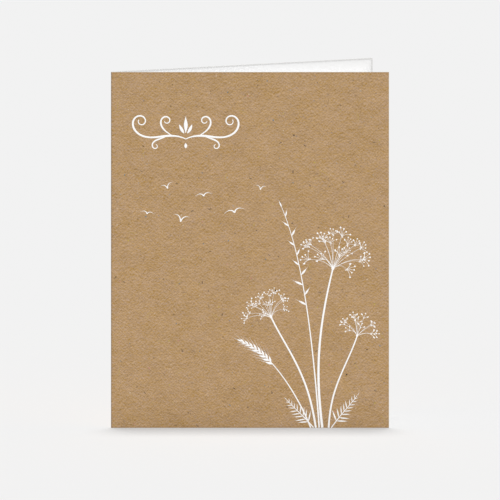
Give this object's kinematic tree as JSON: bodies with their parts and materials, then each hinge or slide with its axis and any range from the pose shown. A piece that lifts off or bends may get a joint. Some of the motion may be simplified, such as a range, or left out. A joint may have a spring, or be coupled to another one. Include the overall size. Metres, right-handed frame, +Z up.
{
  "type": "folded memorial card",
  "caption": "Upright folded card of kraft-faced board, white inside, opened slightly at its side fold, with a white line drawing of seed heads and a pen flourish.",
  "frame": {"origin": "under the middle of the card's bounding box, on the surface it stands on", "axes": "+Z up along the fold, -Y out of the front panel's face, fold at the -X side"},
  "size_m": [0.108, 0.0374, 0.1397],
  "materials": {
    "kraft_board": "matt uncoated kraft face, white inside",
    "white_ink": "matt white ink, printed on the front panel"
  },
  "bodies": {
    "root": {"folded_card": "kraft_board"}
  },
  "joints": []
}
